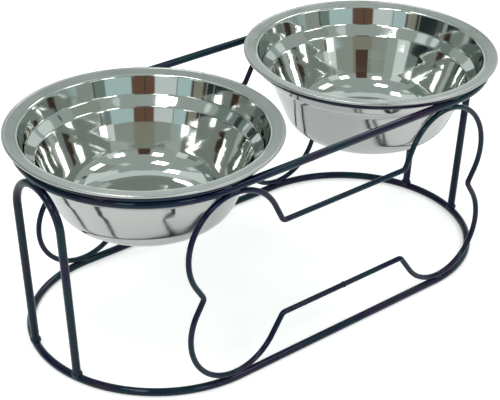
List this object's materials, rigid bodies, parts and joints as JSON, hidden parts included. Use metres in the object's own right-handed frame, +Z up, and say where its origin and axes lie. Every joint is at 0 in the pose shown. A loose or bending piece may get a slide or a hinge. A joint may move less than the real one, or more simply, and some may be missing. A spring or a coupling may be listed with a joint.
{
  "type": "dog feeder stand",
  "caption": "Raised wire feeding stand with a bone outline on each long side, arched end legs and lift-out polished steel bowls held in round wire rings.",
  "frame": {"origin": "middle of the footprint, on the floor that the base ring stands on", "axes": "+Z up, X along the length of the stand with the left bowl at -X, front towards -Y"},
  "size_m": [0.4416, 0.2112, 0.1757],
  "materials": {
    "black_wire": "gloss black enamel on steel wire",
    "stainless": "mirror polished sheet with a satin rim"
  },
  "bodies": {
    "stand": {"base_ring": "black_wire", "left_arch": "black_wire", "right_arch": "black_wire", "front_bone": "black_wire", "back_bone": "black_wire", "top_ring": "black_wire", "left_bowl_ring": "black_wire", "right_bowl_ring": "black_wire", "foot_welds": "black_wire", "arch_welds": "black_wire", "upper_bone_welds": "black_wire", "lower_bone_welds": "black_wire", "bone_seams": "black_wire", "bowl_ring_welds": "black_wire"},
    "left_bowl": {"left_bowl": "stainless"},
    "right_bowl": {"right_bowl": "stainless"}
  },
  "joints": [
    {"name": "left_bowl_lift", "type": "slide", "parent": "stand", "child": "left_bowl", "axis": [0, 0, 1], "range_m": [0, 0.08]},
    {"name": "right_bowl_lift", "type": "slide", "parent": "stand", "child": "right_bowl", "axis": [0, 0, 1], "range_m": [0, 0.08]}
  ]
}
